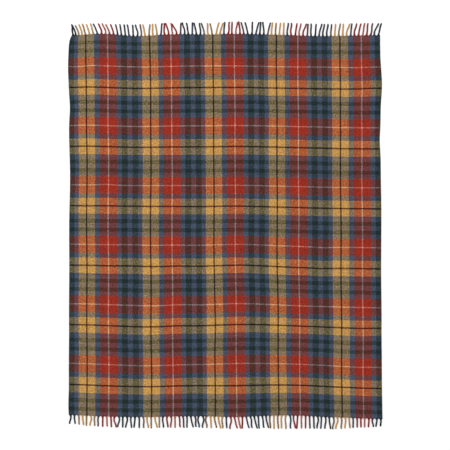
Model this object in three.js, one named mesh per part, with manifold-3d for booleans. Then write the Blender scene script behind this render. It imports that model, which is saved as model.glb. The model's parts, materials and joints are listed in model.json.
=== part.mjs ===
// A plaid wool camp blanket, laid out flat, with a fringe of twisted tassels at each end.
//
// Millimetres. The blanket lies on the plane z = 0. X runs across the cloth between its two
// selvedges, +Y runs along the warp to the head end, and the origin is under the middle.
//
// The cloth folds in four along lines that run across it: each end folds in to the middle, and
// the halves then fold together. So it is made as four panels, each with its own length of
// selvedge. Each end panel also carries its heading, the last rows of weft, and the tassels that
// the warp threads are twisted into. The heading is split where the warp changes colour, and the
// tassels of one colour band and their stretch of heading are one piece.

import * as THREE from 'three';
import * as BufferGeometryUtils from 'three/addons/utils/BufferGeometryUtils.js';
import Module from 'manifold-3d';

const wasm = await Module();
wasm.setup();

// ---- Driving dimensions ----

const CLOTH_WIDTH = 1450; // selvedge to selvedge
const CLOTH_LENGTH = 1775; // heading to heading, without the fringe
const CLOTH_THICKNESS = 3; // raised wool, lightly pressed
const SELVEDGE_WIDTH = 12; // the denser edge of the cloth
const HEADING_DEPTH = 10; // last rows of weft, which hold the tassels' roots
const PIECE_GAP = 0.3; // clearance between neighbouring pieces

const TASSEL_LENGTH = 56.5; // from the heading's edge to the tip
const TASSEL_DIAMETER = 5.5;
const TASSEL_ROOT = 5; // length of each tassel that is inside its heading
const TASSEL_SIDES = 6;
const TASSEL_STEPS = 3;
const TASSEL_BEND = 0.33; // share of its length at which a tassel bends to its lean
const HEAD_SPREAD = 9; // sideways lean at the tip of the outermost tassels, head end
const FOOT_SPREAD = 3; // the same at the foot end

const FOLD_MEETING_GAP = 8; // left between the two fringes when both ends are folded in

// The warp, counted in threads. It starts at the left selvedge with an edge band of green and
// blue, and the bands of the sett then repeat until the threads run out at the right selvedge.
const WARP_THREADS = 763;
const TASSELS_PER_END = 79; // nine or ten warp threads go into each
const EDGE_BAND = { colour: 'green', threads: 24 };
const SETT = [
  { colour: 'yellow', threads: 40 },
  { colour: 'blue', threads: 12 },
  { colour: 'red', threads: 41 },
  { colour: 'green', threads: 62 },
];

// ---- Sizes that follow ----

const HALF_WIDTH = CLOTH_WIDTH / 2;
const HALF_LENGTH = CLOTH_LENGTH / 2;
const FRINGE_TIP_Y = HALF_LENGTH + TASSEL_LENGTH;
const FOLD_Y = FRINGE_TIP_Y / 2 + FOLD_MEETING_GAP / 4; // the two lines where the ends fold in
const TASSEL_PITCH = CLOTH_WIDTH / TASSELS_PER_END;

// ---- Materials ----

const YARN_COLOURS = {
  yellow: 0xd2a045,
  blue: 0x47597e,
  red: 0xa32820,
  green: 0x21362f,
};

function wool(colour) {
  return new THREE.MeshStandardMaterial({ color: colour, roughness: 0.95, metalness: 0 });
}

const CLOTH_COLOUR = 0x7a5f4a; // what the sett averages to
const SELVEDGE_COLOUR = 0x26322f;

// ---- Solids ----

function boxGeometry(x, y, z) {
  const geometry = new THREE.BoxGeometry(x.to - x.from, y.to - y.from, z.to - z.from);
  return geometry.translate((x.from + x.to) / 2, (y.from + y.to) / 2, (z.from + z.to) / 2);
}

function solidFrom(geometry) {
  const bare = geometry.index ? geometry.toNonIndexed() : geometry.clone();
  bare.deleteAttribute('normal');
  bare.deleteAttribute('uv');
  const merged = BufferGeometryUtils.mergeVertices(bare);
  return new wasm.Manifold(
    new wasm.Mesh({
      numProp: 3,
      vertProperties: merged.attributes.position.array,
      triVerts: new Uint32Array(merged.index.array),
    }),
  );
}

function geometryFrom(solid) {
  const mesh = solid.getMesh();
  const geometry = new THREE.BufferGeometry();
  geometry.setAttribute('position', new THREE.BufferAttribute(mesh.vertProperties, mesh.numProp));
  geometry.setIndex(new THREE.BufferAttribute(mesh.triVerts, 1));
  geometry.computeVertexNormals();
  return geometry;
}

function piece(name, geometry, colour) {
  const mesh = new THREE.Mesh(geometry, wool(colour));
  mesh.name = name;
  return mesh;
}

// ---- Cloth panels and selvedges ----

const CLOTH_Z = { from: 0, to: CLOTH_THICKNESS };

function clothPanel(name, yFrom, yTo) {
  const inner = HALF_WIDTH - SELVEDGE_WIDTH - PIECE_GAP;
  const y = { from: yFrom, to: yTo };
  const leftSelvedge = { from: -HALF_WIDTH, to: -HALF_WIDTH + SELVEDGE_WIDTH };
  const rightSelvedge = { from: HALF_WIDTH - SELVEDGE_WIDTH, to: HALF_WIDTH };
  const panel = new THREE.Group();
  panel.add(
    piece(`${name}_cloth`, boxGeometry({ from: -inner, to: inner }, y, CLOTH_Z), CLOTH_COLOUR),
    piece(`${name}_left_selvedge`, boxGeometry(leftSelvedge, y, CLOTH_Z), SELVEDGE_COLOUR),
    piece(`${name}_right_selvedge`, boxGeometry(rightSelvedge, y, CLOTH_Z), SELVEDGE_COLOUR),
  );
  return panel;
}

// ---- Fringe ----

// The colour band that a thread lies in: 0 is the left edge band, and each change of colour
// counts one more.
function bandAt(thread) {
  let end = EDGE_BAND.threads;
  let index = 0;
  while (thread >= end) {
    end += SETT[index % SETT.length].threads;
    index += 1;
  }
  return index;
}

function bandColour(index) {
  return index === 0 ? EDGE_BAND.colour : SETT[(index - 1) % SETT.length].colour;
}

// Tassels numbered from the left, gathered by the colour band of each one's middle thread.
function tasselsByBand() {
  const bands = new Map();
  for (let tassel = 0; tassel < TASSELS_PER_END; tassel += 1) {
    const band = bandAt(((tassel + 0.5) * WARP_THREADS) / TASSELS_PER_END);
    if (!bands.has(band)) {
      bands.set(band, []);
    }
    bands.get(band).push(tassel);
  }
  return bands;
}

function tasselSection() {
  const section = new THREE.Shape();
  for (let side = 0; side < TASSEL_SIDES; side += 1) {
    const angle = (side * 2 * Math.PI) / TASSEL_SIDES;
    const x = (TASSEL_DIAMETER / 2) * Math.cos(angle);
    const y = (TASSEL_DIAMETER / 2) * Math.sin(angle);
    if (side === 0) {
      section.moveTo(x, y);
    } else {
      section.lineTo(x, y);
    }
  }
  section.closePath();
  return section;
}

// A tassel lies on the floor. It leaves the heading square to it, and leans to its own side.
function tasselGeometry(tassel, end, spread) {
  const x = -HALF_WIDTH + (tassel + 0.5) * TASSEL_PITCH;
  const z = TASSEL_DIAMETER / 2;
  const lean = (spread * x) / HALF_WIDTH;
  const path = new THREE.QuadraticBezierCurve3(
    new THREE.Vector3(x, end * (HALF_LENGTH - TASSEL_ROOT), z),
    new THREE.Vector3(x, end * (HALF_LENGTH + TASSEL_LENGTH * TASSEL_BEND), z),
    new THREE.Vector3(x + lean, end * FRINGE_TIP_Y, z),
  );
  return new THREE.ExtrudeGeometry(tasselSection(), { steps: TASSEL_STEPS, extrudePath: path });
}

function headingGeometry(tassels, end) {
  const first = tassels[0];
  const last = tassels[tassels.length - 1];
  const yNear = end * (HALF_LENGTH - HEADING_DEPTH);
  const yFar = end * HALF_LENGTH;
  const fromEdge = first === 0 ? 0 : PIECE_GAP / 2;
  const toEdge = last === TASSELS_PER_END - 1 ? 0 : PIECE_GAP / 2;
  return boxGeometry(
    {
      from: -HALF_WIDTH + first * TASSEL_PITCH + fromEdge,
      to: -HALF_WIDTH + (last + 1) * TASSEL_PITCH - toEdge,
    },
    { from: Math.min(yNear, yFar), to: Math.max(yNear, yFar) },
    CLOTH_Z,
  );
}

// One end's whole fringe. end is +1 at the head and -1 at the foot.
function fringe(name, end, spread) {
  const group = new THREE.Group();
  for (const [band, tassels] of tasselsByBand()) {
    let solid = solidFrom(headingGeometry(tassels, end));
    for (const tassel of tassels) {
      solid = solid.add(solidFrom(tasselGeometry(tassel, end, spread)));
    }
    const colour = bandColour(band);
    const number = String(band + 1).padStart(2, '0');
    const nodeName = `${name}_fringe_${number}_${colour}`;
    group.add(piece(nodeName, geometryFrom(solid), YARN_COLOURS[colour]));
  }
  return group;
}

// ---- The blanket ----

const HALF_GAP = PIECE_GAP / 2;
const PANEL_END_Y = HALF_LENGTH - HEADING_DEPTH - PIECE_GAP;

const headPanel = clothPanel('head_panel', FOLD_Y + HALF_GAP, PANEL_END_Y);
headPanel.add(fringe('head', 1, HEAD_SPREAD));

const footPanel = clothPanel('foot_panel', -PANEL_END_Y, -FOLD_Y - HALF_GAP);
footPanel.add(fringe('foot', -1, FOOT_SPREAD));

const blanket = new THREE.Group();
blanket.add(
  headPanel,
  clothPanel('upper_middle', HALF_GAP, FOLD_Y - HALF_GAP),
  clothPanel('lower_middle', -FOLD_Y + HALF_GAP, -HALF_GAP),
  footPanel,
);

export default blanket;
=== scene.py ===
import json
import math

import bpy
import numpy as np
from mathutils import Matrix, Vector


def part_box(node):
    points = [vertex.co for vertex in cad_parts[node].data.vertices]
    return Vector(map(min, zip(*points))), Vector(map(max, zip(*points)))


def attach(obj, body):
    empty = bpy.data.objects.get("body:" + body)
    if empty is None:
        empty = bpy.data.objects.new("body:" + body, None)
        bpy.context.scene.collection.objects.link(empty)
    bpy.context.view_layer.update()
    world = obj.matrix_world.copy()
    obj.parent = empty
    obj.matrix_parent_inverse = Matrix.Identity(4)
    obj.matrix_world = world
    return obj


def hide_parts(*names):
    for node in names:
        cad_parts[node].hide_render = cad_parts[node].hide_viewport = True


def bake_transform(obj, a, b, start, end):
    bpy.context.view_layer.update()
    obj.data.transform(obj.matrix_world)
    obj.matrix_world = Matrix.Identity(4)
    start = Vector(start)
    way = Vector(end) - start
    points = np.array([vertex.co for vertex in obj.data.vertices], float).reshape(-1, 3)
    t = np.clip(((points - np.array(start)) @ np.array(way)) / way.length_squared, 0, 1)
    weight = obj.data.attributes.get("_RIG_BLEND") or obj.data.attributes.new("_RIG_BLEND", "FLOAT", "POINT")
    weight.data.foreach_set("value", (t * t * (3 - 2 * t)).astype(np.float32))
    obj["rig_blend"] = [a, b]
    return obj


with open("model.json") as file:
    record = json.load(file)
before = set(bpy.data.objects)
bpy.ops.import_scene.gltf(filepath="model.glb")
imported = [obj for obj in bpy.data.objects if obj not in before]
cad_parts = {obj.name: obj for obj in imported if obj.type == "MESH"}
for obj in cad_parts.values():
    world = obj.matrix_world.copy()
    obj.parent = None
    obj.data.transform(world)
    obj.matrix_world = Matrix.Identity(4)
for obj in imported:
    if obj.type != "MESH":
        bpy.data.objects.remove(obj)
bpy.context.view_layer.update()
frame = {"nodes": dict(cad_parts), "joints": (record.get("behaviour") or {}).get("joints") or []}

bl_info = {
    "name": "Camp Blanket",
    "version": (1, 0, 0),
    "blender": (4, 5, 0),
    "location": "3D View > Sidebar > Blanket",
    "description": "Makes a plaid wool blanket with twisted tassels around its packed frame",
    "category": "Object",
}

# ---- What the frame says, in metres ----
# X runs across the cloth between its selvedges, Y along the warp to the head end, and the
# blanket lies on z = 0. "Across" and "along" are a point's place in the flat, straight cloth.

JOINTS = {joint["name"]: joint for joint in frame["joints"]}
QUARTER_FOLD = JOINTS["head_fold"]["pos_m"][1]
HALF_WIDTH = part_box("lower_middle_right_selvedge")[1].x
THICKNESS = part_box("lower_middle_cloth")[1].z
HEADING_DEPTH = 0.010
HALF_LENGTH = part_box("head_fringe_01_green")[0].y + HEADING_DEPTH
TIP_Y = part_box("head_fringe_01_green")[1].y
TASSEL_LENGTH = TIP_Y - HALF_LENGTH
TASSEL_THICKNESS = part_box("head_fringe_02_yellow")[1].z

# ---- The weave ----
# Threads of one colour, in order. The warp starts part-way through its last stripe at the left
# selvedge, and the weft part-way through its last ones at the head end.

WARP_THREADS = 763
WARP_START = 14
WARP_SETT = (
    ("blue", 10), ("yellow", 18), ("black", 4), ("yellow", 18), ("blue", 12), ("red", 19),
    ("white", 3), ("red", 19), ("blue", 12), ("green", 14), ("blue", 12), ("green", 14),
)
WEFT_PICKS = 934
WEFT_START = 58
WEFT_BLUE_EDGE = 3.5
WEFT_SETT = (
    ("red", 19), ("white", 3), ("red", 19), ("blue", 12), ("yellow", 17), ("black", 4),
    ("yellow", 17), ("blue", 13), ("green", 10), ("blue", 11), ("green", 10), ("blue", 11),
)
THREAD = 2 * HALF_WIDTH / WARP_THREADS
PICK = 2 * HALF_LENGTH / WEFT_PICKS

TASSELS_PER_END = 79
TASSEL_PITCH = 2 * HALF_WIDTH / TASSELS_PER_END
EDGE_BAND = ("green", 24)
TASSEL_BANDS = (("yellow", 40), ("blue", 12), ("red", 41), ("green", 62))
YARNS = ("yellow", "blue", "red", "green")

# ---- How the cloth is cut for its folds ----

SHELL_CUT = QUARTER_FOLD / 2
QUARTER_STRIP = 0.010
MIDDLE_STRIP = 0.024
CLOTH_EDGE = HALF_WIDTH - 0.0035  # where the cloth's mesh stops and the selvedge goes on


def strip_at(place, width):
    return place - width / 2, place + width / 2


# Each shell is a stretch of the cloth. It bends in its strip, where its two bodies meet.
SHELLS = {
    "foot": {
        "along": (-HALF_LENGTH, -SHELL_CUT),
        "bodies": ("foot_panel", "lower_middle"),
        "strip": strip_at(-QUARTER_FOLD, QUARTER_STRIP),
        "panels": ("foot_panel",),
    },
    "middle": {
        "along": (-SHELL_CUT, SHELL_CUT),
        "bodies": ("lower_middle", "upper_middle"),
        "strip": strip_at(0.0, MIDDLE_STRIP),
        "panels": ("lower_middle", "upper_middle"),
    },
    "head": {
        "along": (SHELL_CUT, HALF_LENGTH),
        "bodies": ("upper_middle", "head_panel"),
        "strip": strip_at(QUARTER_FOLD, QUARTER_STRIP),
        "panels": ("head_panel",),
    },
}


# ---- Settings that a user may change ----

def size(name, description, default, least, most):
    return bpy.props.FloatProperty(
        name=name, description=description, unit="LENGTH", subtype="DISTANCE",
        default=default, min=least, max=most,
    )


def dye(name, description, default):
    return bpy.props.FloatVectorProperty(
        name=name, description=description, subtype="COLOR_GAMMA", size=3,
        min=0.0, max=1.0, default=default,
    )


class BLANKET_ClothSettings(bpy.types.PropertyGroup):
    grid_step: size(
        "Grid step", "Distance between the rows of the cloth's mesh", 0.008, 0.003, 0.05
    )
    settle: bpy.props.FloatProperty(
        name="Settle", description="How far the stripes wander from straight, as a share",
        default=1.0, min=0.0, max=1.5, subtype="FACTOR",
    )
    ripple_height: size(
        "Ripple height", "Highest lift of the cloth off the floor", 0.0016, 0.0, 0.0017
    )
    loop_pitch: size(
        "Loop pitch", "Distance between the weft's turns at a selvedge", 2 * PICK, 0.002, 0.02
    )


class BLANKET_FringeSettings(bpy.types.PropertyGroup):
    plies: bpy.props.IntProperty(
        name="Plies", description="Yarns that are twisted into each tassel",
        default=2, min=1, max=4,
    )
    turns: bpy.props.FloatProperty(
        name="Turns", description="Turns of the twist along one tassel",
        default=4.6, min=0.0, max=12.0,
    )
    ply_width: size("Ply width", "Thickness of one ply", 0.0043, 0.001, 0.006)
    root_flare: size(
        "Root flare", "Width over which a tassel gathers its threads", 0.0135, 0.004, TASSEL_PITCH
    )
    root_depth: size(
        "Root depth", "Length over which the threads come together", 0.011, 0.002, 0.03
    )
    seed: bpy.props.IntProperty(
        name="Seed", description="Fixes how the tassels differ", default=7, min=0,
    )


class BLANKET_DyeSettings(bpy.types.PropertyGroup):
    blue: dye("Blue", "Colour of the blue yarn", (0.284, 0.326, 0.410))
    green: dye("Green", "Colour of the dark green yarn", (0.120, 0.183, 0.184))
    red: dye("Red", "Colour of the red yarn", (0.615, 0.186, 0.127))
    yellow: dye("Yellow", "Colour of the mustard yarn", (0.805, 0.607, 0.332))
    black: dye("Black", "Colour of the black yarn", (0.12, 0.05, 0.03))
    white: dye("White", "Colour of the off-white yarn", (0.86, 0.65, 0.605))


class BLANKET_StageSettings(bpy.types.PropertyGroup):
    floor_colour: bpy.props.FloatVectorProperty(
        name="Floor", description="Colour of the plain floor", subtype="COLOR", size=3,
        min=0.0, max=1.0, default=(0.93, 0.93, 0.93),
    )
    sky_strength: bpy.props.FloatProperty(
        name="Surrounding light", description="Strength of the even white light", default=0.80,
    )
    lamp_power: bpy.props.FloatProperty(
        name="Lamp power", description="Power of the wide lamp overhead", default=300.0,
        min=0.0, unit="POWER",
    )
    lens: bpy.props.FloatProperty(
        name="Lens", description="Focal length of the camera", default=100.0,
        min=10.0, unit="CAMERA",
    )
    view_width: bpy.props.FloatProperty(
        name="View width", description="Width of floor that the camera takes in",
        default=2.09, min=0.5, unit="LENGTH", subtype="DISTANCE",
    )


SETTINGS = {
    "blanket_cloth": BLANKET_ClothSettings,
    "blanket_fringe": BLANKET_FringeSettings,
    "blanket_dyes": BLANKET_DyeSettings,
    "blanket_stage": BLANKET_StageSettings,
}


# ---- Helpers for node trees ----

class Field:
    """A value in a node tree. Plain arithmetic on it adds Math nodes to the tree."""

    def __init__(self, tree, socket):
        self.tree = tree
        self.socket = socket

    def calc(self, operation, *others):
        return calc(self.tree, operation, self, *others)

    def __add__(self, other):
        return self.calc("ADD", other)

    __radd__ = __add__

    def __sub__(self, other):
        return self.calc("SUBTRACT", other)

    def __rsub__(self, other):
        return calc(self.tree, "SUBTRACT", other, self)

    def __mul__(self, other):
        return self.calc("MULTIPLY", other)

    def __truediv__(self, other):
        return self.calc("DIVIDE", other)

    def __pow__(self, other):
        return self.calc("POWER", other)


def add_node(tree, kind, **settings):
    node = tree.nodes.new(kind)
    for name, value in settings.items():
        setattr(node, name, value)
    return node


def feed(tree, socket, value):
    """Links an output to an input, or sets the input to a plain value."""
    if isinstance(value, Field):
        tree.links.new(value.socket, socket)
    else:
        socket.default_value = value


def fill(tree, node, **values):
    """Feeds a node's inputs by name, with _ for a space."""
    for name, value in values.items():
        feed(tree, node.inputs[name.replace("_", " ")], value)
    return node


def run(tree, kind, settings=None, **values):
    """Adds a node, feeds it and gives its first output."""
    node = fill(tree, add_node(tree, kind, **(settings or {})), **values)
    return Field(tree, node.outputs[0])


def run_in_order(tree, kind, values, output=0, **settings):
    """Adds a node whose inputs are fed in their order, and gives one output."""
    node = add_node(tree, kind, **settings)
    for socket, value in zip(node.inputs, values):
        feed(tree, socket, value)
    return Field(tree, node.outputs[output])


def calc(tree, operation, *values):
    return run_in_order(tree, "ShaderNodeMath", values, operation=operation)


def ease(tree, value, start, end, low=0.0, high=1.0):
    """Goes smoothly from low to high as value goes from start to end."""
    return run_in_order(
        tree, "ShaderNodeMapRange", (value, start, end, low, high), "Result",
        interpolation_type="SMOOTHSTEP",
    )


def vector(tree, x, y, z=0.0):
    return run_in_order(tree, "ShaderNodeCombineXYZ", (x, y, z))


def split(tree, value):
    node = fill(tree, add_node(tree, "ShaderNodeSeparateXYZ"), Vector=value)
    return [Field(tree, socket) for socket in node.outputs]


def new_group(name, kind, inputs, outputs):
    """A node group with named sockets, the values it takes and the sockets it gives."""
    tree = bpy.data.node_groups.new(name, kind)
    for direction, sockets in (("INPUT", inputs), ("OUTPUT", outputs)):
        for label, socket_type, *default in sockets:
            socket = tree.interface.new_socket(
                name=label, in_out=direction, socket_type="NodeSocket" + socket_type
            )
            if default:
                socket.default_value = default[0]
    source = add_node(tree, "NodeGroupInput")
    taken = {socket.name: Field(tree, socket) for socket in source.outputs}
    return tree, taken, add_node(tree, "NodeGroupOutput").inputs


def use_group(tree, name, build, **values):
    """Places a shader group, which is built the first time, and gives its outputs by name."""
    group = get_group(name, build)
    node = fill(tree, add_node(tree, "ShaderNodeGroup", node_tree=group), **values)
    return {socket.name: Field(tree, socket) for socket in node.outputs}


def get_group(name, build):
    return bpy.data.node_groups.get(name) or build(name)


# ---- Shader groups ----

BLEND_ROOT = 3.0
BLEND_TO_LIGHT = 2.2 * BLEND_ROOT  # the power from that root to linear light


def blended_dye(colour):
    """A dye as the cube root of its screen value: two yarns seen together mix evenly there."""
    return [channel ** (1 / BLEND_ROOT) for channel in colour] + [1.0]


def threads_in(sett):
    return sum(count for _, count in sett)


def stripe_ramp(tree, position, sett):
    """The colour of a thread from its place in the repeat, 0 to 1."""
    dyes = bpy.context.scene.blanket_dyes
    node = fill(tree, add_node(tree, "ShaderNodeValToRGB"), Fac=position)
    ramp = node.color_ramp
    ramp.interpolation = "CONSTANT"
    ramp.elements.remove(ramp.elements[-1])
    first = 0
    for name, count in sett:
        stop = ramp.elements.new(first / threads_in(sett)) if first else ramp.elements[0]
        stop.color = blended_dye(getattr(dyes, name))
        first += count
    return Field(tree, node.outputs["Color"])


def build_stripes(name):
    """Colours of the warp and weft threads at a place in the flat cloth."""
    tree, taken, given = new_group(
        name, "ShaderNodeTree",
        [("Across", "Float"), ("Along", "Float")], [("Warp", "Color"), ("Weft", "Color")],
    )
    thread = ((taken["Across"] + HALF_WIDTH) / THREAD).calc("MAXIMUM", 0.0)
    pick = ((HALF_LENGTH - taken["Along"]) / PICK).calc("MAXIMUM", WEFT_BLUE_EDGE)
    for output, place, start, sett in (
        ("Warp", thread, WARP_START, WARP_SETT),
        ("Weft", pick, WEFT_START, WEFT_SETT),
    ):
        position = ((place - start) / threads_in(sett)).calc("FRACT")
        feed(tree, given[output], stripe_ramp(tree, position, sett))
    return tree


TWILL_REPEAT = 4  # threads: each yarn goes over two and under two
WARP_ON_TOP_TO = 0.4  # share of the repeat, whose steps are quarters
RIB_RELIEF = 0.3
YARN_RELIEF = 0.2
MEAN_RELIEF = 0.3


def build_twill(name):
    """A 2/2 twill: which yarn is on top, how high the surface is, and each thread's own shade."""
    tree, taken, given = new_group(
        name, "ShaderNodeTree",
        [("Across", "Float"), ("Along", "Float")],
        [("Weft On Top", "Float"), ("Relief", "Float"), ("Warp Shade", "Float"),
         ("Weft Shade", "Float")],
    )
    thread = taken["Across"] / THREAD
    pick = taken["Along"] / PICK
    thread_number = thread.calc("FLOOR")
    pick_number = pick.calc("FLOOR")
    step = ((thread_number - pick_number) / TWILL_REPEAT).calc("FRACT")
    feed(tree, given["Weft On Top"], step.calc("GREATER_THAN", WARP_ON_TOP_TO))
    rib = ((thread - pick) * (math.tau / TWILL_REPEAT)).calc("COSINE")
    thread_round = (thread * math.pi).calc("SINE").calc("ABSOLUTE")
    pick_round = (pick * math.pi).calc("SINE").calc("ABSOLUTE")
    # The relief is the bump's height. The cloth material also paints shade with it, darker between threads
    # and in the twill's hollows.
    relief = rib * RIB_RELIEF + thread_round * YARN_RELIEF + pick_round * YARN_RELIEF
    feed(tree, given["Relief"], relief + MEAN_RELIEF)
    for output, number in (("Warp Shade", thread_number), ("Weft Shade", pick_number)):
        shade = run(tree, "ShaderNodeTexWhiteNoise", {"noise_dimensions": "1D"}, W=number)
        feed(tree, given[output], shade)
    return tree


FLECK_SIZE = 0.0070
FLECK_GRAIN = (3.0, 0.75)  # detail and roughness of the noise
CLOUD_SIZE = 0.09
CLOUD_GRAIN = (2.0, 0.6)
NAP_SIZE = 0.35  # share of a fleck's size
NAP_GRAIN = (2.0, 0.7)
NAP_GLOSS = 0.12
WOOL_ROUGHNESS = 0.84
OTHER_DRAW = 7.3  # a move of the noise that makes it another draw


def build_wool(name):
    """Raised wool: flecks of lighter and darker fibre, and a soft nap."""
    tree, taken, given = new_group(
        name, "ShaderNodeTree",
        [("Across", "Float"), ("Along", "Float"), ("Fleck Size", "Float", FLECK_SIZE)],
        [("Heather", "Float"), ("Fibre Drift", "Float"), ("Cloud", "Float"), ("Nap", "Float"),
         ("Roughness", "Float")],
    )
    fleck = taken["Fleck Size"]
    place = vector(tree, taken["Across"], taken["Along"])
    elsewhere = vector(tree, taken["Across"] + OTHER_DRAW, taken["Along"])

    def noise(where, size, grain):
        scale = calc(tree, "DIVIDE", 1.0, size)
        return run(
            tree, "ShaderNodeTexNoise", {"noise_dimensions": "2D"},
            Vector=where, Scale=scale, Detail=grain[0], Roughness=grain[1],
        )

    feed(tree, given["Heather"], noise(place, fleck, FLECK_GRAIN) - 0.5)
    feed(tree, given["Fibre Drift"], noise(elsewhere, fleck, FLECK_GRAIN) - 0.5)
    feed(tree, given["Cloud"], noise(place, CLOUD_SIZE, CLOUD_GRAIN) - 0.5)
    nap = noise(place, fleck * NAP_SIZE, NAP_GRAIN)
    feed(tree, given["Nap"], nap)
    feed(tree, given["Roughness"], nap.calc("MULTIPLY_ADD", NAP_GLOSS, WOOL_ROUGHNESS))
    return tree


def build_yarn_blend(name):
    """Mixes two yarns' colours as the eye does, shades the mix, and gives linear light."""
    tree, taken, given = new_group(
        name, "ShaderNodeTree",
        [("Warp", "Color"), ("Weft", "Color"), ("Weft Share", "Float", 0.5),
         ("Shade", "Float", 1.0), ("Depth", "Float", 1.0)],
        [("Colour", "Color")],
    )
    mix = add_node(tree, "ShaderNodeMix", data_type="RGBA")
    colours = [socket for socket in mix.inputs if socket.type == "RGBA"]
    for socket, value in zip((mix.inputs[0], *colours), ("Weft Share", "Warp", "Weft")):
        feed(tree, socket, taken[value])
    mixed = next(Field(tree, socket) for socket in mix.outputs if socket.type == "RGBA")
    light = run(tree, "ShaderNodeGamma", Color=mixed, Gamma=taken["Depth"] * BLEND_TO_LIGHT)
    shaded = add_node(tree, "ShaderNodeVectorMath", operation="SCALE")
    feed(tree, shaded.inputs[0], light)
    feed(tree, shaded.inputs["Scale"], taken["Shade"])
    feed(tree, given["Colour"], Field(tree, shaded.outputs[0]))
    return tree


# ---- Materials ----
# A material's depth is how deep its bump goes, in metres.

SHEEN_ROUGHNESS = 0.6
PLAID_LOOK = {"weft_share": 0.48, "contrast": 0.4, "shade": 0.70, "depth": 0.0004}
# The selvedge's shade is lower than the plaid's. Its loops are painted darker along the cloth's edges:
# painted shade over the edge's own dark yarns.
SELVEDGE_LOOK = {"weft_share": 0.62, "contrast": 0.2, "shade": 0.5, "depth": 0.0003}
FIBRE_DRIFT = 1.15  # how far the weft's share of the colour strays
CLOTH_TONE = 0.665
CLOTH_TONES = {"Heather": 2.3, "Cloud": 0.3}
# Each thread's own tone at random, and painted shade: the weave's relief paints the colour darker between
# the threads and along the twill's hollows.
WEAVE_TONES_AND_GAP_SHADE = {"Warp Shade": 0.18, "Weft Shade": 0.17, "Relief": 0.36}
CLOTH_NAP = 0.6
# A painted shadow along each end of the cloth, where the tassels start: the colour is scaled down over the
# last few millimetres.
END_SHADOW_SPAN = (HALF_LENGTH - 0.0045, HALF_LENGTH - 0.001)  # painted shadow: the colour is painted darker between these
END_SHADOW_LEVEL = 0.6

TASSEL_LOOKS = {
    "yellow": {"shade": 0.76, "saturation": 0.92},
    "blue": {"shade": 0.56, "saturation": 1.10},
    "red": {"shade": 0.80, "saturation": 1.2},
    "green": {"shade": 0.52, "saturation": 1.05},
}
TASSEL_FLECK = 0.0025
TASSEL_TONE = 0.88
# Painted shade: a ply is painted darker in the grooves between its spun fibre ridges.
SPIN_GROOVE_SHADE = 0.24
SPIN_ROUND = 3.0  # fibre ridges round a ply
SPIN_LENGTH = 420.0  # fibre ridges in a metre of it
TASSEL_NAP = 0.8
TASSEL_DEPTH = 0.0003


def get_material(name, build, look):
    return bpy.data.materials.get(name) or build(name, look)


def wool_shader(name, sheen=0.07, specular=0.10):
    """A new wool material, and the tree and shader in it."""
    material = bpy.data.materials.new(name)
    material.use_nodes = True
    tree = material.node_tree
    tree.nodes.clear()
    shader = add_node(tree, "ShaderNodeBsdfPrincipled")
    shader.inputs["Specular IOR Level"].default_value = specular
    shader.inputs["Sheen Weight"].default_value = sheen
    shader.inputs["Sheen Roughness"].default_value = SHEEN_ROUGHNESS
    output = add_node(tree, "ShaderNodeOutputMaterial")
    tree.links.new(shader.outputs[0], output.inputs["Surface"])
    return material, tree, shader


def finish_wool(tree, shader, colour, roughness, height, depth):
    normal = run(tree, "ShaderNodeBump", Strength=1.0, Distance=depth, Height=height)
    fill(tree, shader, Base_Color=colour, Roughness=roughness, Normal=normal)


def map_place(tree, name):
    """The coordinates of a piece's UV map."""
    return split(tree, run(tree, "ShaderNodeUVMap", {"uv_map": name}))


def woven_material(name, look):
    material, tree, shader = wool_shader(name)
    across, along, _ = map_place(tree, "Weave")
    stripes = use_group(tree, "Plaid stripes", build_stripes, Across=across, Along=along)
    twill = use_group(tree, "Twill weave", build_twill, Across=across, Along=along)
    wool = use_group(tree, "Raised wool", build_wool, Across=across, Along=along)
    share = (twill["Weft On Top"] - 0.5) * look["contrast"]
    share = share + wool["Fibre Drift"] * FIBRE_DRIFT + look["weft_share"]
    # Random tone of the wool and threads, plus painted shade from the relief between threads.
    tone_and_shade = CLOTH_TONE
    for values, weights in ((wool, CLOTH_TONES), (twill, WEAVE_TONES_AND_GAP_SHADE)):
        for output, weight in weights.items():
            tone_and_shade = tone_and_shade + values[output] * weight
    # Painted shadow: the cloth's colour is painted darker towards each end.
    end_shadow = ease(tree, along.calc("ABSOLUTE"), *END_SHADOW_SPAN, 1.0, END_SHADOW_LEVEL)
    blend = use_group(
        tree, "Yarn blend", build_yarn_blend, Warp=stripes["Warp"], Weft=stripes["Weft"],
        Weft_Share=share, Shade=tone_and_shade * end_shadow * look["shade"],
    )
    height = twill["Relief"] + wool["Nap"] * CLOTH_NAP
    finish_wool(tree, shader, blend["Colour"], wool["Roughness"], height, look["depth"])
    return material


def yarn_material(name, look):
    material, tree, shader = wool_shader(name, sheen=0.04, specular=0.06)
    across, along, _ = map_place(tree, "Weave")
    around, distance, _ = map_place(tree, "Yarn")
    stripes = use_group(tree, "Plaid stripes", build_stripes, Across=across, Along=0.0)
    wool = use_group(
        tree, "Raised wool", build_wool, Across=across, Along=along, Fleck_Size=TASSEL_FLECK
    )
    spun = (around * SPIN_ROUND + distance * SPIN_LENGTH) * math.tau
    fibre = spun.calc("SINE").calc("MULTIPLY_ADD", 0.5, 0.5)
    # Random tone of the wool, plus painted shade in the grooves of the spin.
    tone_and_shade = TASSEL_TONE + wool["Heather"] + fibre * SPIN_GROOVE_SHADE
    blend = use_group(
        tree, "Yarn blend", build_yarn_blend, Warp=stripes["Warp"], Weft=stripes["Warp"],
        Shade=tone_and_shade * look["shade"], Depth=look["saturation"],
    )
    height = fibre + wool["Nap"] * TASSEL_NAP
    finish_wool(tree, shader, blend["Colour"], wool["Roughness"], height, TASSEL_DEPTH)
    return material


# ---- How the cloth lies ----

def hump(place, centre, width):
    return np.exp(-(((place - centre) / width) ** 2))


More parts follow.
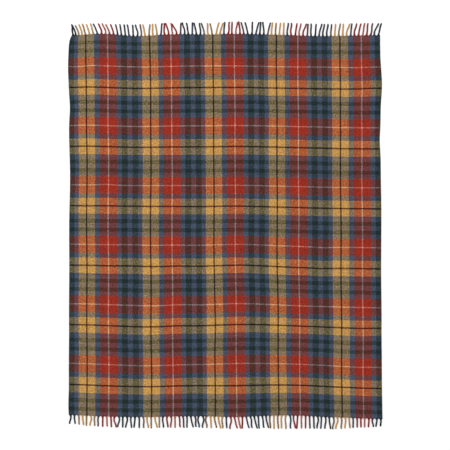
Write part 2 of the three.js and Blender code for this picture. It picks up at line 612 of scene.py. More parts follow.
def humps(table, place):
    """The sum of several humps, each a centre, a reach and a height."""
    return sum(height * hump(place, centre, reach) for centre, reach, height in table)


def rise(place, start, end):
    share = np.clip((place - start) / (end - start), 0.0, 1.0)
    return share * share * (3 - 2 * share)


# Where each selvedge lies in from straight (or out, below 0): centre and reach along it, and
# how far. The left one is also drawn in at its head corner.
LEFT_PULLS = (
    (0.73, 0.08, -0.0055), (0.54, 0.06, 0.0065), (0.18, 0.16, 0.0050),
    (-0.65, 0.12, -0.0035), (-0.84, 0.06, -0.0040),
)
RIGHT_PULLS = (
    (0.66, 0.09, 0.009), (0.40, 0.06, -0.0060), (0.12, 0.12, 0.0022),
    (-0.15, 0.15, -0.0012), (-0.50, 0.10, -0.0025),
)
LEFT_INSET = 0.0013
LEFT_TAPER = 0.0005
CORNER_PULL = 0.019
CORNER_REACH = 0.022
EDGE_REACH = 0.03  # how far into the cloth a pulled edge is felt


def left_edge_pull(along):
    """How far the left selvedge lies in from straight, in metres."""
    corner = CORNER_PULL * np.exp(-(HALF_LENGTH - along) / CORNER_REACH)
    return LEFT_INSET + LEFT_TAPER * along + corner + humps(LEFT_PULLS, along)


# Places where the cloth was tugged as it was laid: centre and reach across, centre and reach
# along, and how far the threads moved there.
TUGS_SIDEWAYS = (
    (-0.63, 0.06, 0.80, 0.20, -0.0032),
    (-0.35, 0.08, 0.60, 0.30, 0.0030),
    (-0.35, 0.30, 0.33, 0.17, 0.0026),
    (0.60, 0.14, 0.66, 0.08, 0.0032),
    (0.20, 0.20, -0.10, 0.20, -0.0024),
    (-0.05, 0.05, -0.48, 0.10, 0.0034),
)
TUGS_LENGTHWAYS = (
    (-0.36, 0.18, 0.02, 0.28, 0.0038),
    (0.13, 0.12, 0.12, 0.22, -0.0030),
    (-0.22, 0.07, -0.35, 0.26, 0.0033),
    (0.24, 0.12, -0.52, 0.20, 0.0030),
    (0.45, 0.06, -0.14, 0.12, -0.0032),
    (0.70, 0.06, 0.72, 0.20, 0.0040),
    (0.70, 0.06, -0.55, 0.15, 0.0046),
    (-0.68, 0.05, 0.74, 0.06, -0.0040),
    (-0.55, 0.05, 0.16, 0.07, 0.0034),
    (-0.44, 0.06, -0.13, 0.20, 0.0020),
)

# Where the weft bows: over the cloth's whole length, by its foot end and at its head end, as
# centre and reach across, and how far.
BOWS = ((0.08, 0.16, 0.0065), (-0.385, 0.15, -0.0045), (-0.70, 0.12, 0.0025))
FOOT_BOWS = ((0.05, 0.13, -0.0110), (-0.60, 0.12, -0.0030))
HEAD_BOWS = (
    (-0.68, 0.08, -0.0080), (-0.41, 0.09, -0.0062), (-0.08, 0.08, -0.0035), (0.45, 0.13, -0.0060),
)
SHIVER = 0.0008  # how far a slight wave moves every stripe
WARP_SHIVER = (14.0, 3.0)  # radians in a metre along the stripe, and from stripe to stripe
WEFT_SHIVER = (11.0, -4.0)
WARP_SHIFT, WARP_LEAN = 0.001, -0.0055  # at the middle, and from there to the head end
LEFT_SHIFT, UNLEANED_LEFT = -0.0023, 0.004  # added to those near the left selvedge
LEFT_ZONE = (-0.70, -0.25)
WEFT_SHIFT, WEFT_LEAN = -0.0015, -0.0055
FOOT_ZONE = (0.60, 0.86)
HEAD_ZONE = (0.82, HALF_LENGTH)


def tugged(tugs, across, along):
    return sum(
        amount * hump(across, over, reach) * hump(along, up, length)
        for over, reach, up, length, amount in tugs
    )


def sideways_wander(across, along):
    """The warp stripes lean a little, less so near the left selvedge, and both edges pull."""
    up = along / HALF_LENGTH
    near_left = 1 - rise(across, *LEFT_ZONE)
    return (
        WARP_SHIFT + WARP_LEAN * up
        + near_left * (LEFT_SHIFT + UNLEANED_LEFT * up)
        + SHIVER * np.sin(along * WARP_SHIVER[0] + across * WARP_SHIVER[1])
        + tugged(TUGS_SIDEWAYS, across, along)
        + left_edge_pull(along) * np.exp(-(across + HALF_WIDTH) / EDGE_REACH)
        + humps(RIGHT_PULLS, along) * np.exp(-(HALF_WIDTH - across) / EDGE_REACH)
    )


def lengthways_wander(across, along):
    """The weft stripes bow towards the head (above zero) and droop towards the foot."""
    up = along / HALF_LENGTH
    near_foot = rise(-along, *FOOT_ZONE)
    near_head = rise(along, *HEAD_ZONE)
    return (
        WEFT_SHIFT + WEFT_LEAN * across / HALF_WIDTH
        + humps(BOWS, across)
        # The middle's bow flattens towards the head, and the right side droops less there.
        - 0.0035 * up * hump(across, 0.08, 0.16)
        - 0.0045 * rise(across, 0.25, HALF_WIDTH) * (1 - up)
        # The left selvedge droops towards the head.
        - 0.0065 * hump(across, -HALF_WIDTH, 0.08) * rise(along, -0.2, 0.8)
        + tugged(TUGS_LENGTHWAYS, across, along)
        # Right of the middle there is a bow by the foot.
        + 0.0062 * hump(across, 0.36, 0.20) * rise(-along, 0.30, 0.60)
        # The two ends, and one stripe that sags near the head.
        + near_foot * (humps(FOOT_BOWS, across) + 0.0042 * rise(across, 0.46, 0.60))
        + near_head * (humps(HEAD_BOWS, across) - 0.0012)
        - 0.0026 * hump(along, 0.64, 0.05) * (1 - rise(across, 0.45, HALF_WIDTH))
        + SHIVER * np.sin(across * WEFT_SHIVER[0] + along * WEFT_SHIVER[1])
    )


# Ripples: distance between crests across and along, phase and share of the height.
RIPPLES = (
    (0.46, 0.71, 0.3, 0.30),
    (-0.31, 0.52, 1.9, 0.22),
    (0.17, 0.33, 4.1, 0.16),
    (0.24, -0.15, 2.6, 0.14),
    (-0.11, 0.13, 5.2, 0.10),
    (0.08, 0.10, 0.9, 0.08),
)
FRINGE_LANDING = 0.08  # stretch beside the middle fold that the folded-in fringes lie on
LANDING_CALM = 0.4


def lift(across, along):
    """How high the cloth's underside lies off the floor."""
    height = bpy.context.scene.blanket_cloth.ripple_height
    waves = sum(
        share * np.sin(math.tau * (across / over + along / up) + phase)
        for over, up, phase, share in RIPPLES
    )
    calm = LANDING_CALM + (1 - LANDING_CALM) * rise(np.abs(along), 0.0, FRINGE_LANDING)
    return height * np.clip((1 + waves) / 2, 0.0, 1.0) * calm


def settled(across, along):
    """Where a point of the flat cloth comes to lie."""
    across, along = np.asarray(across, float), np.asarray(along, float)
    amount = bpy.context.scene.blanket_cloth.settle
    x = across + amount * sideways_wander(across, along)
    y = along + amount * lengthways_wander(across, along)
    return x, y, lift(across, along)


# ---- Helpers for objects ----

KEPT_ATTRIBUTES = {"position", "sharp_face", "sharp_edge", "material_index", "Weave", "Yarn"}


def new_object(name, data):
    piece = bpy.data.objects.new(name, data)
    bpy.context.scene.collection.objects.link(piece)
    return piece


def new_mesh(name, points, edges=(), faces=()):
    mesh = bpy.data.meshes.new(name)
    mesh.from_pydata(points, edges, faces)
    return mesh


def add_uv(mesh, name, coordinates):
    layer = mesh.uv_layers.new(name=name)
    layer.data.foreach_set("uv", np.asarray(coordinates, np.float32).ravel())


def add_values(mesh, data_type="FLOAT", field="value", **values):
    """Stores one value for each point of a mesh, under each name."""
    for name, numbers in values.items():
        attribute = mesh.attributes.new(name, data_type, "POINT")
        kind = np.int32 if data_type == "INT" else np.float32
        attribute.data.foreach_set(field, np.asarray(numbers, kind).ravel())


def grow(carrier, tree, name, values):
    """Runs a node tree on a carrier object, and returns its result as a plain mesh object."""
    modifier = carrier.modifiers.new("Grow", "NODES")
    modifier.node_group = tree
    for item in tree.interface.items_tree:
        if item.item_type == "SOCKET" and item.in_out == "INPUT" and item.name in values:
            modifier[item.identifier] = values[item.name]
    graph = bpy.context.evaluated_depsgraph_get()
    mesh = bpy.data.meshes.new_from_object(carrier.evaluated_get(graph), depsgraph=graph)
    bpy.data.objects.remove(carrier)
    if not mesh.polygons:
        raise RuntimeError(f"the node tree made nothing for {name}")
    mesh.name = name
    for attribute in [a.name for a in mesh.attributes]:
        if attribute not in KEPT_ATTRIBUTES and not attribute.startswith("."):
            mesh.attributes.remove(mesh.attributes[attribute])
    return new_object(name, mesh)


# ---- Cloth ----

RIM = THICKNESS / 2
RIM_STEPS = ((0.0, 0.35), (0.0003, 0.66), (0.0009, 0.92), (RIM, 1.0))
FOLD_ROW = 0.0012  # distance between the rows in a fold
FEWEST_FOLD_ROWS = 6
ROW_CLEARANCE = 0.001
BAKE_MARGIN = 0.012
WALL_SIDES = ((0, -1), (0, 1), (1, 0), (-1, 0))  # where the walls lie on the bake map


def stations(first, last, step, strip, rim_first=True, rim_last=True):
    """Places of the mesh's rows, closer together at a rim and in a fold."""
    rims = [inset for inset, _ in RIM_STEPS[:-1]]
    start = first + (RIM if rim_first else 0.0)
    end = last - (RIM if rim_last else 0.0)
    count = max(2, round((end - start) / step))
    places = list(np.linspace(start, end, count + 1))
    if strip:
        low, high = strip
        rows = max(FEWEST_FOLD_ROWS, round((high - low) / FOLD_ROW))
        places = [p for p in places if p < low - ROW_CLEARANCE or p > high + ROW_CLEARANCE]
        places += list(np.linspace(low, high, rows + 1))
    if rim_first:
        places += [first + inset for inset in rims]
    if rim_last:
        places += [last - inset for inset in rims]
    return np.array(sorted(places))


def fullness(places, first, last):
    """The cloth's thickness beside its rims, as a share."""
    insets, shares = zip(*RIM_STEPS)
    from_first = np.interp(places - first, insets, shares) if first is not None else 1.0
    from_last = np.interp(last - places, insets, shares) if last is not None else 1.0
    return np.minimum(from_first, from_last) * np.ones_like(places)


def shell_faces(rows, columns):
    """Faces of a closed sheet: above, below, and its foot, head, right and left walls."""
    index = np.arange(rows * columns).reshape(rows, columns)
    corners = (index[:-1, :-1], index[:-1, 1:], index[1:, 1:], index[1:, :-1])
    upper = np.stack([corner.ravel() for corner in corners], 1)
    lower = upper[:, ::-1] + index.size

    def wall(line):
        start, end = line[:-1], line[1:]
        return np.stack([start + index.size, end + index.size, end, start], 1)

    return upper, lower, (
        wall(index[0]), wall(index[-1][::-1]), wall(index[:, -1]), wall(index[:, 0][::-1])
    )


def bake_map(flat, corners, walls, along):
    """A map with no overlaps: the face, its walls round it, and the underside past them."""
    scale = (1 - 2 * BAKE_MARGIN) / (2 * CLOTH_EDGE)
    count = len(flat) // 2
    sheet = BAKE_MARGIN + (flat + (CLOTH_EDGE, -along[0])) * scale
    sheet[count:, 1] += (along[1] - along[0]) * scale + 2 * BAKE_MARGIN
    places = sheet[corners]
    wall_corners = corners[-4 * sum(map(len, walls)):]
    outward = np.repeat(WALL_SIDES, [4 * len(wall) for wall in walls], axis=0)
    down = (wall_corners >= count) * THICKNESS * scale
    places[-len(wall_corners):] = sheet[wall_corners % count] + outward * down[:, None]
    return places


def cloth_shell(name, along, strip, is_foot, is_head):
    """One closed stretch of the cloth, with a face above and below and a rim all round."""
    step = bpy.context.scene.blanket_cloth.grid_step
    columns = stations(-CLOTH_EDGE, CLOTH_EDGE, step, None)
    rows = stations(*along, step, strip, is_foot, is_head)
    across, up = np.meshgrid(columns, rows)
    full = np.minimum(
        fullness(columns, -CLOTH_EDGE, CLOTH_EDGE)[None, :],
        fullness(rows, along[0] if is_foot else None, along[1] if is_head else None)[:, None],
    )
    x, y, low = settled(across, up)
    middle = low + THICKNESS / 2
    layers = [np.stack([x, y, middle + side * full * THICKNESS / 2], -1) for side in (1, -1)]
    upper, lower, walls = shell_faces(*x.shape)
    faces = np.concatenate([upper, lower, *walls])
    mesh = new_mesh(name, np.concatenate(layers).reshape(-1, 3).tolist(), [], faces.tolist())
    mesh.validate()

    # The two walls where this stretch meets its neighbours stay sharp.
    rounded = [True, True, is_foot, is_head, True, True]
    smooth = np.repeat(rounded, [len(part) for part in (upper, lower, *walls)])
    mesh.polygons.foreach_set("use_smooth", smooth)

    flat = np.tile(np.stack([across.ravel(), up.ravel()], 1), (2, 1))
    add_uv(mesh, "Weave", flat[faces.ravel()])
    add_uv(mesh, "OFBake", bake_map(flat, faces.ravel(), walls, along))
    mesh.uv_layers["Weave"].active = True
    mesh.uv_layers["Weave"].active_render = True
    mesh.materials.append(get_material("Plaid cloth", woven_material, PLAID_LOOK))
    return new_object(name, mesh)


def blend_with_cloth(piece, part):
    shell = SHELLS[part]
    start, end = shell["strip"]
    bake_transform(piece, *shell["bodies"], start=(0, start, 0), end=(0, end, 0))


class BLANKET_OT_weave_cloth(bpy.types.Operator):
    """Weaves the cloth in its three stretches, each with one fold line across it"""

    bl_idname = "blanket.weave_cloth"
    bl_label = "Weave cloth"

    def execute(self, context):
        for part, shell in SHELLS.items():
            along = shell["along"]
            piece = cloth_shell(
                f"cloth_{part}", along, shell["strip"], part == "foot", part == "head"
            )
            blend_with_cloth(piece, part)
            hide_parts(*[f"{panel}_cloth" for panel in shell["panels"]])
            on_it = [f"selvedge_left_{part}", f"selvedge_right_{part}"]
            if part != "middle":
                on_it += [f"{part}_tassels_{yarn}" for yarn in YARNS]
            along[1] - along[0]
        return {"FINISHED"}


# ---- Helpers for yarn in Geometry Nodes ----

def read_value(tree, name, data_type="FLOAT"):
    return run(tree, "GeometryNodeInputNamedAttribute", {"data_type": data_type}, Name=name)


def store_value(tree, geometry, name, value, data_type="FLOAT", domain="POINT"):
    settings = {"data_type": data_type, "domain": domain}
    return run(
        tree, "GeometryNodeStoreNamedAttribute", settings,
        Geometry=geometry, Name=name, Value=value,
    )


def curve_share(tree):
    """How far along its curve each point is, 0 to 1."""
    return run(tree, "GeometryNodeSplineParameter")


def even_line(tree, points):
    line = run(tree, "GeometryNodeCurvePrimitiveLine")
    return run(tree, "GeometryNodeResampleCurve", {"mode": "COUNT"}, Curve=line, Count=points)


def put_at_points(tree, points, shape):
    """A real copy of a shape at each point, which takes on the point's values."""
    placed = run(tree, "GeometryNodeInstanceOnPoints", Points=points, Instance=shape)
    return run(tree, "GeometryNodeRealizeInstances", Geometry=placed)


def round_profile(tree, sides):
    """A circle of radius 1 that knows how far round each of its points is."""
    circle = run(tree, "GeometryNodeCurvePrimitiveCircle", Resolution=sides, Radius=1.0)
    return store_value(tree, circle, "around", curve_share(tree))


def tube(tree, curve, profile, scale):
    return run(
        tree, "GeometryNodeCurveToMesh", Curve=curve, Profile_Curve=profile, Scale=scale,
        Fill_Caps=True,
    )


def add_maps(tree, mesh, across, along, distance):
    """Stores the two maps that a yarn's material reads."""
    around = read_value(tree, "around")
    mesh = store_value(tree, mesh, "Weave", vector(tree, across, along), "FLOAT2", "CORNER")
    return store_value(tree, mesh, "Yarn", vector(tree, around, distance), "FLOAT2", "CORNER")


def finish_tree(tree, parts, material, given):
    joined = add_node(tree, "GeometryNodeJoinGeometry")
    for part in parts:
        feed(tree, joined.inputs[0], part)
    smooth = run(tree, "GeometryNodeSetShadeSmooth", Geometry=Field(tree, joined.outputs[0]))
    real = run(tree, "GeometryNodeRealizeInstances", Geometry=smooth)
    painted = run(tree, "GeometryNodeSetMaterial", Geometry=real, Material=material)
    feed(tree, given[0], painted)


# ---- Selvedges ----

LOOP_REACH = 0.0062
LOOP_YARN = 0.0008  # radius
LOOP_POINTS = 8
LOOP_SIDES = 5
LOOP_SQUARENESS = 0.6  # a power: less is squarer
LOOP_SLANT = -0.27  # share of the pitch that each end of a loop lies to its side
CORD_SIZE = (0.0013, 0.0012, 1.0)
CORD_SIDES = 8
CORD_INSET = 0.0022  # from the loops' tips to the cord's middle
SELVEDGE_ROW = 0.008
EDGE_COLOUR_INSET = 0.004  # the selvedge takes its colour this far in from the edge


def build_selvedge(name):
    """Weft loops that turn round the last warp threads, along a line at the cloth's edge."""
    tree, taken, given = new_group(
        name, "GeometryNodeTree",
        [("Edge", "Geometry"), ("Loop Pitch", "Float", 2 * PICK),
         ("Loop Reach", "Float", LOOP_REACH), ("Yarn Radius", "Float", LOOP_YARN),
         ("Side", "Float", 1.0), ("Material", "Material")],
        [("Selvedge", "Geometry")],
    )
    pitch, reach, side = taken["Loop Pitch"], taken["Loop Reach"], taken["Side"]
    edge = run(tree, "GeometryNodeMeshToCurve", Mesh=taken["Edge"])

    turns = run(tree, "GeometryNodeResampleCurve", {"mode": "LENGTH"}, Curve=edge, Length=pitch)
    half_turn = curve_share(tree) * math.pi
    over = half_turn.calc("SINE") ** LOOP_SQUARENESS * reach * side
    beside = half_turn.calc("COSINE") * pitch * LOOP_SLANT
    height = half_turn.calc("COSINE") * (THICKNESS / 2 - LOOP_YARN)
    loop = run(
        tree, "GeometryNodeSetPosition", Geometry=even_line(tree, LOOP_POINTS),
        Position=vector(tree, over, beside, height),
    )
    loop = tube(tree, loop, round_profile(tree, LOOP_SIDES), taken["Yarn Radius"])

    section = run(
        tree, "GeometryNodeTransform", Geometry=round_profile(tree, CORD_SIDES), Scale=CORD_SIZE
    )
    offset = vector(tree, side * (reach - CORD_INSET), 0.0)
    path = run(tree, "GeometryNodeSetPosition", Geometry=edge, Offset=offset)
    across, along = read_value(tree, "across"), read_value(tree, "along")
    parts = [
        add_maps(tree, yarn, across, along, along)
        for yarn in (put_at_points(tree, turns, loop), tube(tree, path, section, 1.0))
    ]
    finish_tree(tree, parts, taken["Material"], given)
    return tree


class BLANKET_OT_turn_selvedges(bpy.types.Operator):
    """Turns the weft round the outermost warp threads along both selvedges"""

    bl_idname = "blanket.turn_selvedges"
    bl_label = "Turn selvedges"

    def execute(self, context):
        tree = get_group("Selvedge loops", build_selvedge)
        pitch = context.scene.blanket_cloth.loop_pitch
        for label, side in (("left", -1), ("right", 1)):
            for part, shell in SHELLS.items():
                piece = self.edge(f"selvedge_{label}_{part}", side, shell, tree, pitch)
                blend_with_cloth(piece, part)
                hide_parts(*[f"{p}_{label}_selvedge" for p in shell["panels"]])
        return {"FINISHED"}

    def edge(self, name, side, shell, tree, pitch):
        """One stretch of one selvedge."""
        along = stations(*shell["along"], SELVEDGE_ROW, shell["strip"], False, False)
        across = np.full_like(along, side * (HALF_WIDTH - LOOP_REACH - LOOP_YARN))
        x, y, low = settled(across, along)
        points = np.stack([x, y, low + THICKNESS / 2], 1)
        mesh = new_mesh(name, points.tolist(), [(i, i + 1) for i in range(len(points) - 1)])
        colour_place = np.full_like(along, side * (HALF_WIDTH - EDGE_COLOUR_INSET))
        add_values(mesh, along=along, across=colour_place)
        material = get_material("Selvedge weft", woven_material, SELVEDGE_LOOK)
        return grow(new_object(name + "_path", mesh), tree, name, {
            "Loop Pitch": pitch, "Loop Reach": LOOP_REACH, "Yarn Radius": LOOP_YARN,
            "Side": float(side), "Material": material,
        })


# ---- Fringe ----

PLY_POINTS = 26
PLY_SIDES = 6
PLY_SPREAD = 1.1  # distance of a ply's middle from the tassel's, in ply radii
ROOT_SPREAD = 1.8  # how much wider that is at the root
PLY_TIP = 0.62  # thickness at the tip, as a share
TURN_RANGE = (0.85, 1.15)
LEAN_POWER = 1.35
BOW = math.tau * 0.85

# Shares of a tassel's length: where its plies have drawn together, where their twist is at its
# full height, where they lie on the floor and where their ends thin out.
DRAWN_IN = 0.16
FULL_TWIST = 0.14
ON_FLOOR = 0.2
THINNING = 0.93

ROOT_STRANDS = 6
STRAND_POINTS = 6
STRAND_SIDES = 5
STRAND_RADII = (0.00135, 0.0010)
STRAND_COLOUR_WIDTH = 0.12  # share of the threads that each strand takes its colours from
STRAND_START = -0.0015  # its root lies this far inside the cloth
STRAND_RISE = 0.0007
GATHER_POWER = 1.7
GATHERED_WIDTH = 0.12


def yarn_strands(tree, roots, copies, points, sides, place, radius, colour):
    """Copies of a yarn at each root: place, radius and colour are functions of its values."""
    copied = add_node(tree, "GeometryNodeDuplicateElements", domain="POINT")
    fill(tree, copied, Geometry=roots, Amount=copies)
    doubled, index = (Field(tree, output) for output in copied.outputs)
    starts = store_value(tree, doubled, "copy", index)
    lines = put_at_points(tree, starts, even_line(tree, points))
    marked = store_value(tree, lines, "share", curve_share(tree))
    copy, share = read_value(tree, "copy"), read_value(tree, "share")
    laid = run(tree, "GeometryNodeSetPosition", Geometry=marked, Position=place(share, copy))
    yarn = tube(tree, laid, round_profile(tree, sides), radius(share))
    distance = share * read_value(tree, "reach")
    return add_maps(tree, yarn, colour(copy), distance, distance)


def build_fringe(name):
    """Tassels of twisted plies that grow out of gathered warp threads, one at each root."""
    tree, taken, given = new_group(
        name, "GeometryNodeTree",
        [("Roots", "Geometry"), ("Plies", "Int", 2), ("Turns", "Float", 4.6),
         ("Ply Radius", "Float", 0.002), ("Height", "Float", TASSEL_THICKNESS),
         ("Root Strands", "Int", ROOT_STRANDS), ("Root Flare", "Float", 0.0135),
         ("Root Depth", "Float", 0.011), ("Thread Span", "Float", TASSEL_PITCH),
         ("Seed", "Int", 7), ("Material", "Material")],
        [("Tassels", "Geometry")],
    )
    radius, depth, plies = taken["Ply Radius"], taken["Root Depth"], taken["Plies"]
    root_x, root_y, root_z = split(tree, read_value(tree, "root", "FLOAT_VECTOR"))
    facing, reach, lean, sway, across = (
        read_value(tree, value) for value in ("facing", "reach", "lean", "sway", "across")
    )
    one_side = (read_value(tree, "around") * 2.0).calc("PINGPONG", 1.0)

    chance = add_node(tree, "FunctionNodeRandomValue", data_type="FLOAT")
    chance.inputs[2].default_value, chance.inputs[3].default_value = TURN_RANGE
    fill(tree, chance, ID=read_value(tree, "number", "INT"), Seed=taken["Seed"])
    turns = taken["Turns"] * Field(tree, chance.outputs[1])

    def centre(share):
        return root_x + lean * share ** LEAN_POWER + sway * (share * BOW).calc("SINE")

    def ply_place(share, copy):
        angle = turns * share * math.tau + copy * math.tau / plies
        spread = ease(tree, share, 0.0, DRAWN_IN, ROOT_SPREAD, 1.0)
        x = centre(share) + angle.calc("COSINE") * (radius * PLY_SPREAD) * spread
        y = root_y + facing * reach * share
        lie = taken["Height"] * 0.5
        low = (
            root_z * ease(tree, share, 0.0, ON_FLOOR, 1.0, 0.0)
            + lie * ease(tree, share, 0.0, ON_FLOOR)
        )
        twist = angle.calc("SINE") * (lie - radius) * ease(tree, share, 0.0, FULL_TWIST)
        return vector(tree, x, y, low + twist)

    def ply_radius(share):
        return radius * ease(tree, share, THINNING, 1.0, 1.0, PLY_TIP)

    def ply_colour(copy):
        strand = (copy + one_side) / plies + read_value(tree, "gathered") - 0.5
        return across + strand * read_value(tree, "span")

    def lane(copy):
        return copy / (taken["Root Strands"] - 1.0) - 0.5

    def root_place(share, copy):
        gather = (1.0 - share) ** GATHER_POWER + GATHERED_WIDTH
        x = centre(share * depth / reach) + lane(copy) * taken["Root Flare"] * gather
        y = root_y + facing * share.calc("MULTIPLY_ADD", depth, STRAND_START)
        return vector(tree, x, y, root_z + share * STRAND_RISE)

    def root_radius(share):
        return ease(tree, share, 0.0, 1.0, *STRAND_RADII)

    def root_colour(copy):
        strand = lane(copy) + one_side * STRAND_COLOUR_WIDTH
        return across + strand * taken["Thread Span"]

    twisted = yarn_strands(
        tree, taken["Roots"], plies, PLY_POINTS, PLY_SIDES, ply_place, ply_radius, ply_colour
    )
    gathered = yarn_strands(
        tree, taken["Roots"], taken["Root Strands"], STRAND_POINTS, STRAND_SIDES,
        root_place, root_radius, root_colour,
    )
    finish_tree(tree, [twisted, gathered], taken["Material"], given)
    return tree


def tassel_band(tassel):
    """The colour of the band that a tassel's middle thread lies in."""
    thread = (tassel + 0.5) * WARP_THREADS / TASSELS_PER_END
    name, end = EDGE_BAND
    index = 0
    while thread >= end:
        name, count = TASSEL_BANDS[index % len(TASSEL_BANDS)]
        end += count
        index += 1
    return name


STRIPE_SPAN = 0.8 * TASSEL_PITCH  # makes one ply as many threads wide as a thin stripe
PLY_MIDDLE = 0.25  # of the first of two plies, as a share of the tassel's threads


def thin_stripes():
    """Places across the cloth of the middles of the black and the white warp stripes."""
    places = []
    for first in range(WARP_START - threads_in(WARP_SETT), WARP_THREADS, threads_in(WARP_SETT)):
        thread = first
        for name, count in WARP_SETT:
            if name in ("black", "white"):
                places.append((thread + count / 2) * THREAD - HALF_WIDTH)
            thread += count
    return np.array(places)


def gathered_threads(across):
    """Each tassel's width of threads, and the shift that twists a thin stripe as one ply."""
    offsets = thin_stripes()[None, :] - across[:, None]
    nearest = offsets[np.arange(len(across)), np.abs(offsets).argmin(1)]
    has_stripe = np.abs(nearest) < TASSEL_PITCH / 2
    span = np.where(has_stripe, STRIPE_SPAN, TASSEL_PITCH)
    return span, np.where(has_stripe, nearest / STRIPE_SPAN + PLY_MIDDLE, 0.0)


# How the tassels of each end, 1 for the head and -1 for the foot, lie. A place is -1 at the left
# selvedge and 1 at the right one, and leans and bows are in metres.
LENGTH_PLACES = (-1.0, -0.9, -0.7, -0.55, -0.35, 0.0, 0.15, 0.35, 0.55, 0.75, 0.9, 1.0)
LENGTH_SHARES = {
    1: (0.92, 0.92, 0.89, 0.98, 0.96, 1.0, 1.04, 1.02, 1.02, 1.02, 1.02, 1.02),
    -1: (0.73, 0.82, 0.88, 0.91, 0.94, 0.97, 0.99, 1.09, 1.03, 0.93, 0.73, 0.63),
}
LENGTH_SPREAD = 0.02
LEAN_SPREAD = 0.0028
MIDDLE_SPREAD = {1: 0.0060, -1: 0.0050}  # how much more the leans differ in the middle
MIDDLE_REACH = 0.45
LEFT_LEAN = {1: -0.0155, -1: 0.0}
LEAN_STEPS = {
    1: (
        (-0.76, -0.64, 0.0105), (-0.30, 0.0, 0.0065), (0.30, 0.50, 0.0050), (0.88, 1.0, 0.0100),
    ),
    -1: (),
}
LEAN_HUMPS = {1: (), -1: ((0.0, 0.35, 0.0040),)}
MOST_LEAN = 0.022
BOW_SPREAD = 0.0015
BOW_SHARE = {1: 1.0, -1: 1.3}
TIP_SPACING = 0.0078  # neighbouring tips touch, and don't cross
SPACING_ROUNDS = 40
FOOT_DRAW = 101  # makes the foot's draw another one than the head's


def tassel_lie(end, seed):
    """Lean and bow of every tassel of one end, and its length, in metres."""
    draw = np.random.RandomState(seed + (0 if end > 0 else FOOT_DRAW))
    place = np.linspace(-1.0, 1.0, TASSELS_PER_END)
    lean = draw.normal(0.0, 1.0, TASSELS_PER_END)
    sway = draw.normal(0.0, BOW_SPREAD, TASSELS_PER_END) * BOW_SHARE[end]
    length = TASSEL_LENGTH * np.interp(place, LENGTH_PLACES, LENGTH_SHARES[end])
    length *= 1 + draw.normal(0.0, LENGTH_SPREAD, TASSELS_PER_END)
    lean *= LEAN_SPREAD + MIDDLE_SPREAD[end] * hump(place, 0.0, MIDDLE_REACH)
    lean += LEFT_LEAN[end] + humps(LEAN_HUMPS[end], place)
    lean += sum(step * rise(place, start, stop) for start, stop, step in LEAN_STEPS[end])
    root = place * (HALF_WIDTH - TASSEL_PITCH / 2)
    tip = root + np.clip(lean, -MOST_LEAN, MOST_LEAN)
    for _ in range(SPACING_ROUNDS):
        short = np.maximum(TIP_SPACING - np.diff(tip), 0.0) / 2
        tip[:-1] -= short
        tip[1:] += short
    return tip - root, sway, length


class BLANKET_OT_twist_fringe(bpy.types.Operator):
    """Twists the warp ends into tassels, one piece for each colour at each end"""

    bl_idname = "blanket.twist_fringe"
    bl_label = "Twist fringe"

    def execute(self, context):
        settings = context.scene.blanket_fringe
        for part, end in (("head", 1), ("foot", -1)):
            lie = tassel_lie(end, settings.seed)
            for yarn in YARNS:
                piece = self.tassels(f"{part}_tassels_{yarn}", yarn, end, lie, settings)
                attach(piece, f"{part}_panel")
                stood_for = [n for n in frame["nodes"]
                             if n.startswith(f"{part}_fringe_") and n.endswith(yarn)]
                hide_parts(*stood_for)
        return {"FINISHED"}

    def tassels(self, name, yarn, end, lie, settings):
        """All the tassels of one colour at one end."""
        chosen = [t for t in range(TASSELS_PER_END) if tassel_band(t) == yarn]
        lean, sway, length = (values[chosen] for values in lie)
        across = -HALF_WIDTH + (np.array(chosen) + 0.5) * TASSEL_PITCH
        x, y, low = settled(across, np.full_like(across, end * HALF_LENGTH))
        points = np.stack([x, y, low + THICKNESS / 2], 1)
        mesh = new_mesh(name, points.tolist())
        add_values(mesh, "FLOAT_VECTOR", "vector", root=points)
        add_values(mesh, "INT", number=chosen)
        span, gathered = gathered_threads(across)
        add_values(
            mesh, facing=np.full_like(across, end), reach=np.sqrt(length ** 2 - lean ** 2),
            lean=lean, sway=sway, across=across, span=span, gathered=gathered,
        )
        tree = get_group("Twisted tassels", build_fringe)
        return grow(new_object(name + "_roots", mesh), tree, name, {
            "Plies": settings.plies, "Turns": settings.turns,
            "Ply Radius": settings.ply_width / 2, "Height": TASSEL_THICKNESS,
            "Root Strands": ROOT_STRANDS, "Root Flare": settings.root_flare,
            "Root Depth": settings.root_depth, "Thread Span": TASSEL_PITCH,
            "Seed": settings.seed,
            "Material": get_material(f"Twisted {yarn} yarn", yarn_material, TASSEL_LOOKS[yarn]),
        })


# ---- Stage ----

FLOOR_REACH = 60.0
FLOOR_DROP = 0.0003  # keeps the floor clear of the cloth's underside
FLOOR_ROUGHNESS = 0.9
FLOOR_GLOSS = 0.1
LAMP_SIZE = 3.0
LAMP_PLACE = (-2.2, 2.6, 7.0)
SENSOR_WIDTH = 36.0
FARTHEST_VIEW = 200.0


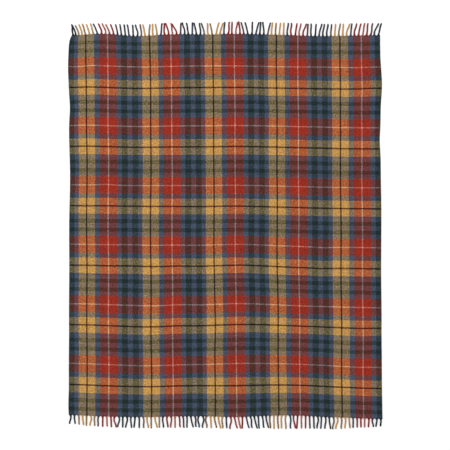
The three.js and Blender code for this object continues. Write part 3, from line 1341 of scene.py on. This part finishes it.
class BLANKET_OT_set_stage(bpy.types.Operator):
    """Sets out a plain pale floor, soft light and a camera straight above the blanket"""

    bl_idname = "blanket.set_stage"
    bl_label = "Set stage"

    def execute(self, context):
        stage = context.scene.blanket_stage
        self.floor(stage.floor_colour)
        self.light(context.scene, stage)
        self.camera(context.scene, stage)
        context.scene.view_settings.view_transform = "Standard"
        return {"FINISHED"}

    def floor(self, colour):
        corners = [(x * FLOOR_REACH, y * FLOOR_REACH, 0)
                   for x, y in ((-1, -1), (1, -1), (1, 1), (-1, 1))]
        mesh = new_mesh("studio_floor", corners, [], [(0, 1, 2, 3)])
        material = bpy.data.materials.new("Studio floor")
        material.use_nodes = True
        shader = material.node_tree.nodes["Principled BSDF"]
        shader.inputs["Base Color"].default_value = (*colour, 1.0)
        shader.inputs["Roughness"].default_value = FLOOR_ROUGHNESS
        shader.inputs["Specular IOR Level"].default_value = FLOOR_GLOSS
        mesh.materials.append(material)
        floor = new_object("studio_floor", mesh)
        floor.location.z = -FLOOR_DROP

    def light(self, scene, stage):
        world = bpy.data.worlds.new("Studio light")
        world.use_nodes = True
        background = world.node_tree.nodes["Background"]
        background.inputs["Color"].default_value = (1.0, 1.0, 1.0, 1.0)
        background.inputs["Strength"].default_value = stage.sky_strength
        scene.world = world
        lamp = bpy.data.lights.new("wide_lamp", "AREA")
        lamp.shape = "SQUARE"
        lamp.size = LAMP_SIZE
        lamp.energy = stage.lamp_power
        holder = new_object("wide_lamp", lamp)
        holder.location = LAMP_PLACE
        holder.rotation_mode = "QUATERNION"
        holder.rotation_quaternion = (-holder.location).to_track_quat("-Z", "Y")

    def camera(self, scene, stage):
        camera = bpy.data.cameras.new("camera")
        camera.lens = stage.lens
        camera.sensor_width = SENSOR_WIDTH
        camera.clip_end = FARTHEST_VIEW
        scene.camera = new_object("camera", camera)
        distance = stage.view_width * stage.lens / SENSOR_WIDTH
        scene.camera.location = (0.0, 0.0, THICKNESS + distance)


# ---- Panel and registration ----

OPERATORS = (
    BLANKET_OT_set_stage,
    BLANKET_OT_turn_selvedges,
    BLANKET_OT_twist_fringe,
    BLANKET_OT_weave_cloth,
)


class BLANKET_PT_panel(bpy.types.Panel):
    """Lists the steps that make the blanket, and their settings"""

    bl_idname = "BLANKET_PT_panel"
    bl_label = "Camp Blanket"
    bl_space_type = "VIEW_3D"
    bl_region_type = "UI"
    bl_category = "Blanket"

    def draw(self, context):
        column = self.layout.column()
        for operator in OPERATORS:
            column.operator(operator.bl_idname)
        for label, group in SETTINGS.items():
            box = self.layout.box()
            settings = getattr(context.scene, label)
            for name in group.__annotations__:
                box.prop(settings, name)


def register():
    for group in SETTINGS.values():
        bpy.utils.register_class(group)
    for label, group in SETTINGS.items():
        setattr(bpy.types.Scene, label, bpy.props.PointerProperty(type=group))
    for cls in (*OPERATORS, BLANKET_PT_panel):
        bpy.utils.register_class(cls)


def unregister():
    for cls in (BLANKET_PT_panel, *reversed(OPERATORS)):
        bpy.utils.unregister_class(cls)
    for label, group in SETTINGS.items():
        delattr(bpy.types.Scene, label)
        bpy.utils.unregister_class(group)


def main():
    register()
    bpy.ops.blanket.set_stage()
    bpy.ops.blanket.turn_selvedges()
    bpy.ops.blanket.twist_fringe()
    bpy.ops.blanket.weave_cloth()


if __name__ == "__main__":
    main()
